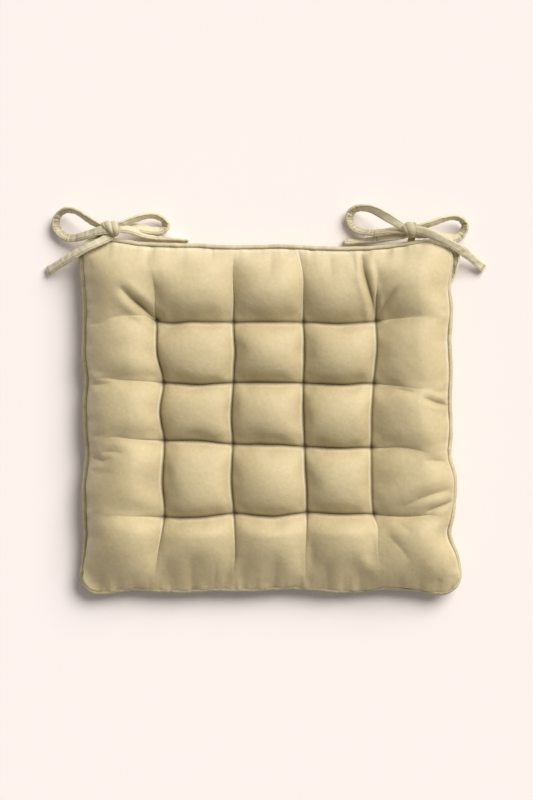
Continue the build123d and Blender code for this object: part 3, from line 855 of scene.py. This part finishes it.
def knot_piece(name, centre, size, slant, pleating, shaded, seed):
    """The wrap of a knot: the tie turned once round the crossing, folded, and pulled narrow at the front."""
    over = np.linspace(-1, 1, KNOT_ACROSS)
    edge = np.concatenate([over, over[-2:0:-1]])
    outer = np.where(np.arange(len(edge)) < KNOT_ACROSS, 1, 0)
    rounded = 1 - np.abs(edge) ** 5
    through = KNOT_HALF_THICKNESS * np.sqrt(rounded) * (2 * outer - 1)
    points, grooves = [], []
    for t in np.arange(KNOT_RINGS) * 2 * math.pi / KNOT_RINGS:
        out = np.array([0, math.sin(t), math.cos(t)])
        front = max(0.0, -math.sin(t))
        flattened = KNOT_RADIUS - KNOT_FRONT_IN * front
        middle = np.array(centre) + out * (0, flattened, KNOT_RADIUS) + (slant * math.sin(t - 0.4), 0, 0)
        width = size * (1 + 0.6 * math.cos(t - 0.9))
        phase = pleating * edge + 0.8 * math.sin(t + seed) + seed
        folds = np.abs(np.sin(phase)) + 0.9 * band(edge, LAST_FOLD, LAST_FOLD_HALF) + 1.6 * (1 - edge**2)
        lift = through + (1 - FOLDS_LOST * front) * folds * outer * rounded
        for e, h in zip(edge, lift):
            points.append(middle + np.array([e * width / 2, 0, 0]) + out * h)
        # Painted shade: dark between its folds, on the front, which is turned from the light up to its last
        # fold, and all over its outer face by its shaded share
        turned = ease(-0.2, 0.8, -math.sin(t)) * ease(0.5, 0.3, edge)
        between = band(np.sin(phase), 0, 0.26)
        grooves.append(np.clip(shaded + 0.75 * between + 0.6 * turned, 0, 1) * outer)
    piece = new_mesh(name, np.array(points), tube_faces(KNOT_RINGS, len(edge), True))
    add_attribute(piece, "crease", np.concatenate(grooves))
    return piece


# ---------------------------------------------------------------- materials

def srgb(r, g, b):
    """A colour given as 0 to 255 in sRGB, as the shader takes it."""
    return tuple(((c / 255 + 0.055) / 1.055) ** 2.4 for c in (r, g, b)) + (1.0,)


def link(tree, output, socket):
    """Join two sockets of a material."""
    tree.links.new(output, socket)


def new_material(name, roughness):
    """A material with its node tree and its shader."""
    material = bpy.data.materials.new(name)
    material.use_nodes = True
    shader = material.node_tree.nodes["Principled BSDF"]
    shader.inputs["Roughness"].default_value = roughness
    return material, material.node_tree, shader


def velvet(name, light, dark, masks):
    """Cotton velvet: soft mottled pile, a fine nap in the bump, a bright sheen at grazing angles.

    Each mask is an attribute of the mesh, how strongly it shows, and the colour that it brings; the masks
    paint shade and highlights into the colour.
    """
    material, tree, shader = new_material(name, 0.62)
    nodes = tree.nodes
    shader.inputs["Specular IOR Level"].default_value = 0.45
    shader.inputs["Sheen Weight"].default_value = 0.45
    shader.inputs["Sheen Roughness"].default_value = 0.3
    shader.inputs["Sheen Tint"].default_value = srgb(255, 246, 222)
    place = nodes.new("ShaderNodeTexCoord")

    def noise(size, detail, rough=0.55):
        node = nodes.new("ShaderNodeTexNoise")
        node.inputs["Scale"].default_value = size
        node.inputs["Detail"].default_value = detail
        node.inputs["Roughness"].default_value = rough
        link(tree, place.outputs["Object"], node.inputs["Vector"])
        return node.outputs["Fac"]

    def remap(value, low, high):
        node = nodes.new("ShaderNodeMapRange")
        node.inputs["From Min"].default_value = low
        node.inputs["From Max"].default_value = high
        link(tree, value, node.inputs["Value"])
        return node.outputs["Result"]

    def mix(fac, a, b, blending="MIX"):
        node = nodes.new("ShaderNodeMix")
        node.data_type = "RGBA"
        node.blend_type = blending
        for value, socket in ((fac, node.inputs["Factor"]), (a, node.inputs[6]), (b, node.inputs[7])):
            if isinstance(value, bpy.types.NodeSocket):
                link(tree, value, socket)
            else:
                socket.default_value = value
        return node.outputs[2]

    brushing_and_light_facing = remap(noise(22, 3), 0.3, 0.7)
    pile = remap(noise(240, 5, 0.7), 0.3, 0.7)
    tone = mix(brushing_and_light_facing, dark, light)
    speck = mix(pile, srgb(168, 150, 106), srgb(255, 255, 255))
    colour = mix(0.16, tone, speck, "MULTIPLY")
    for mask, strength, tint in masks:
        read = nodes.new("ShaderNodeAttribute")
        read.attribute_name = mask
        share = nodes.new("ShaderNodeMath")
        share.operation = "MULTIPLY"
        share.inputs[1].default_value = strength
        link(tree, read.outputs["Fac"], share.inputs[0])
        colour = mix(share.outputs[0], colour, tint)
    link(tree, colour, shader.inputs["Base Color"])

    def bump(strength, distance, height):
        node = nodes.new("ShaderNodeBump")
        node.inputs["Strength"].default_value = strength
        node.inputs["Distance"].default_value = distance
        link(tree, height, node.inputs["Height"])
        return node

    nap = bump(0.25, 0.0006, noise(1400, 3))
    crush = bump(0.18, 0.003, noise(110, 4))
    link(tree, nap.outputs["Normal"], crush.inputs["Normal"])
    link(tree, crush.outputs["Normal"], shader.inputs["Normal"])
    return material


def thread(name, colour):
    """Twisted sewing thread."""
    material, tree, shader = new_material(name, 0.6)
    place = tree.nodes.new("ShaderNodeTexCoord")
    twist = tree.nodes.new("ShaderNodeTexWave")
    twist.inputs["Scale"].default_value = 900
    twist.inputs["Distortion"].default_value = 2
    twist.bands_direction = "DIAGONAL"
    link(tree, place.outputs["Object"], twist.inputs["Vector"])
    ramp = tree.nodes.new("ShaderNodeMix")
    ramp.data_type = "RGBA"
    link(tree, twist.outputs["Fac"], ramp.inputs["Factor"])
    ramp.inputs[6].default_value = srgb(*(int(c * 0.7) for c in colour))
    ramp.inputs[7].default_value = srgb(*colour)
    link(tree, ramp.outputs[2], shader.inputs["Base Color"])
    bump = tree.nodes.new("ShaderNodeBump")
    bump.inputs["Distance"].default_value = 0.0003
    link(tree, twist.outputs["Fac"], bump.inputs["Height"])
    link(tree, bump.outputs["Normal"], shader.inputs["Normal"])
    return material


def dress(piece, material):
    """Give a piece its material."""
    piece.data.materials.clear()
    piece.data.materials.append(material)


# ---------------------------------------------------------------- camera

CENTRE_X, CENTRE_Y = -2.1, 17.9  # the middle of the view, in millimetres
VIEW_HEIGHT = 840.0
CAMERA_DISTANCE = 3.0  # metres

camera = add_object("camera", bpy.data.cameras.new("camera"))
camera.location = (CENTRE_X * MM, CENTRE_Y * MM, CAMERA_DISTANCE + SEAM_HEIGHT * MM)
camera.data.sensor_width = 36
camera.data.lens = 36 * CAMERA_DISTANCE / (VIEW_HEIGHT * MM)
camera.data.clip_end = 20
bpy.context.scene.camera = camera

# ---------------------------------------------------------------- ties and bows

# The crease mask darkens the ties' seam and hem lines and paints shade into the pleats, the knots' folds and
# fronts
tie_velvet = velvet("tie_velvet", srgb(222, 212, 180), srgb(204, 194, 162), [
    ("crease", 0.6, srgb(110, 94, 60)),
])

STRAPS = {
    "left_tie_a": ("left", LEFT_TIE_A, ["side_tie", "inner_loop", "outer_tail", "tie_bends"]),
    "left_tie_b": ("left", LEFT_TIE_B, ["back_tie", "outer_loop", "inner_tail"]),
    "right_tie_a": ("right", RIGHT_TIE_A, ["side_tie", "inner_loop", "outer_tail", "tie_bends"]),
    "right_tie_b": ("right", RIGHT_TIE_B, ["back_tie", "outer_loop", "inner_tail"]),
}
KNOTS = {
    "left": dict(centre=(-164.3, 196.4, 27.0), size=11.6, slant=-3.4, pleating=3.9, shaded=0.15, seed=3),
    "right": dict(centre=(148.4, 195.0, 26.5), size=11.4, slant=-0.6, pleating=2.7, shaded=0.5, seed=5),
}

for side, shape in KNOTS.items():
    knot = knot_piece(f"{side}_knot_wrap", **shape)
    dress(knot, tie_velvet)
    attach(knot, f"{side}_bow")
    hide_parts(f"{side}_bow_knot")

for number, (name, (side, parts, nodes)) in enumerate(STRAPS.items()):
    strap, path, length = strap_piece(name, parts, 70 + 7 * number)
    dress(strap, tie_velvet)
    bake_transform(strap)
    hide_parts(*(f"{side}_{node}" for node in nodes))

# ---------------------------------------------------------------- pad

# Painted shade near the creases, in them and at the tufts, and painted sheen as a light colour
pad_velvet = velvet("pad_velvet", srgb(208, 191, 150), srgb(197, 180, 139), [
    ("shade", 0.2, srgb(84, 66, 32)), ("painted_sheen", 0.4, srgb(244, 236, 212)),
    ("crease", 0.8, srgb(84, 66, 32)), ("tuft", 0.6, srgb(84, 66, 32)),
])
# Painted shade on the piping under the cover's edge and on its side turned from the light
piping_velvet = velvet("piping_velvet", srgb(210, 198, 164), srgb(192, 180, 146), [
    ("shade", 0.8, srgb(92, 76, 42)),
])

# Each cover: its random seed, which way it faces, its grid lines in each puff, and what it stands for
COVERS = {
    "top_cover_velvet": (5, 1, 80, ["top_cover", "upper_wadding", "core_wadding", "seam_thread"]),
    "bottom_cover_velvet": (6, -1, 40, ["bottom_cover", "lower_wadding"]),
}

for name, (seed, up, steps, nodes) in COVERS.items():
    cover = cover_piece(name, seed, up, steps)
    dress(cover, pad_velvet)
    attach(cover, "pad")
    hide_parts(*nodes)

piping = piping_piece()
dress(piping, piping_velvet)
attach(piping, "pad")
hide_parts("piping_cover", "piping_cord")

stitches = tuft_stitch_piece()
dress(stitches, thread("tuft_thread", (120, 100, 62)))
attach(stitches, "pad")
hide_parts("tuft_threads")

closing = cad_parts["closing_stitches"]
closing.data.materials.clear()
closing.data.materials.append(thread("closing_thread", (190, 172, 126)))

# ---------------------------------------------------------------- floor and light

FLOOR_HALF = 6
FLOOR_CORNERS = [(-FLOOR_HALF, -FLOOR_HALF, 0), (FLOOR_HALF, -FLOOR_HALF, 0),
                 (FLOOR_HALF, FLOOR_HALF, 0), (-FLOOR_HALF, FLOOR_HALF, 0)]

floor = add_object("floor", bpy.data.meshes.new("floor"))
floor.data.from_pydata(FLOOR_CORNERS, [], [(0, 1, 2, 3)])
pale, _, pale_shader = new_material("pale_floor", 0.9)
pale_shader.inputs["Base Color"].default_value = srgb(244, 235, 232)
pale_shader.inputs["Specular IOR Level"].default_value = 0.0
floor.data.materials.append(pale)

world = bpy.data.worlds.new("studio")
world.use_nodes = True
sky = world.node_tree.nodes["Background"]
sky.inputs["Color"].default_value = (1.0, 0.985, 0.97, 1)
sky.inputs["Strength"].default_value = 0.29
bpy.context.scene.world = world

TO_THE_SUN = Vector((0.58, 0.66, 0.78))
key = add_object("key", bpy.data.lights.new("key", "SUN"))
key.data.energy = 3.8
key.data.angle = math.radians(42)
key.data.color = (1.0, 0.985, 0.96)
key.rotation_euler = TO_THE_SUN.to_track_quat("Z", "Y").to_euler()

bpy.context.scene.view_settings.view_transform = "Standard"
